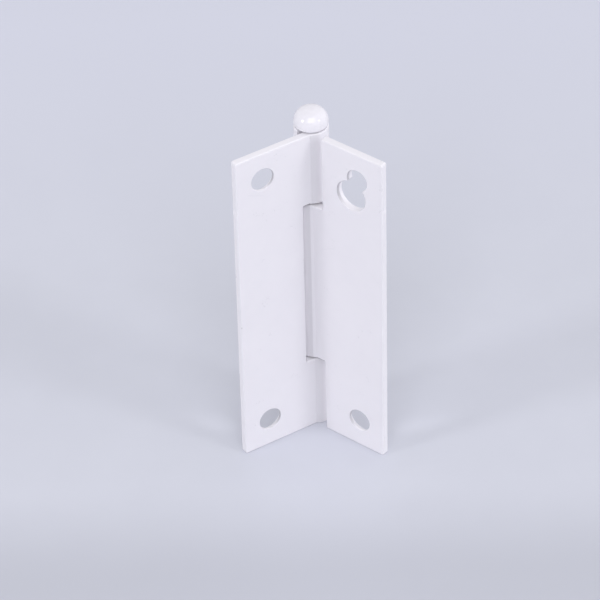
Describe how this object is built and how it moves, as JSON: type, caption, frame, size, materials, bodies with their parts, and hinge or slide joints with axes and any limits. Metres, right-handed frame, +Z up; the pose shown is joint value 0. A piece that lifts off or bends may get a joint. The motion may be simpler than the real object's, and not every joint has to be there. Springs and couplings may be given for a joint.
{
  "type": "butt hinge",
  "caption": "White butt hinge for a light appliance door: rolled sheet-steel leaves on a dome-headed pin, with round screw holes and a keyhole for hanging the door on a screw.",
  "frame": {"origin": "on the pin axis, at the lower ends of the pin and both leaves", "axes": "+Z up the pin to its head, +X along the keyhole leaf, -Y out of the keyhole leaf's mounting face"},
  "size_m": [0.0292, 0.0269, 0.0936],
  "materials": {
    "leaf_paint": "gloss white powder coat",
    "pin_paint": "gloss white powder coat"
  },
  "bodies": {
    "frame_side": {"outer_knuckle_leaf": "leaf_paint", "hinge_pin": "pin_paint"},
    "door_side": {"keyhole_leaf": "leaf_paint"}
  },
  "joints": [
    {"name": "leaf_swing", "type": "hinge", "parent": "frame_side", "child": "door_side", "pos_m": [0, 0, 0], "axis": [0, 0, 1], "range_deg": [-38, 250]}
  ]
}
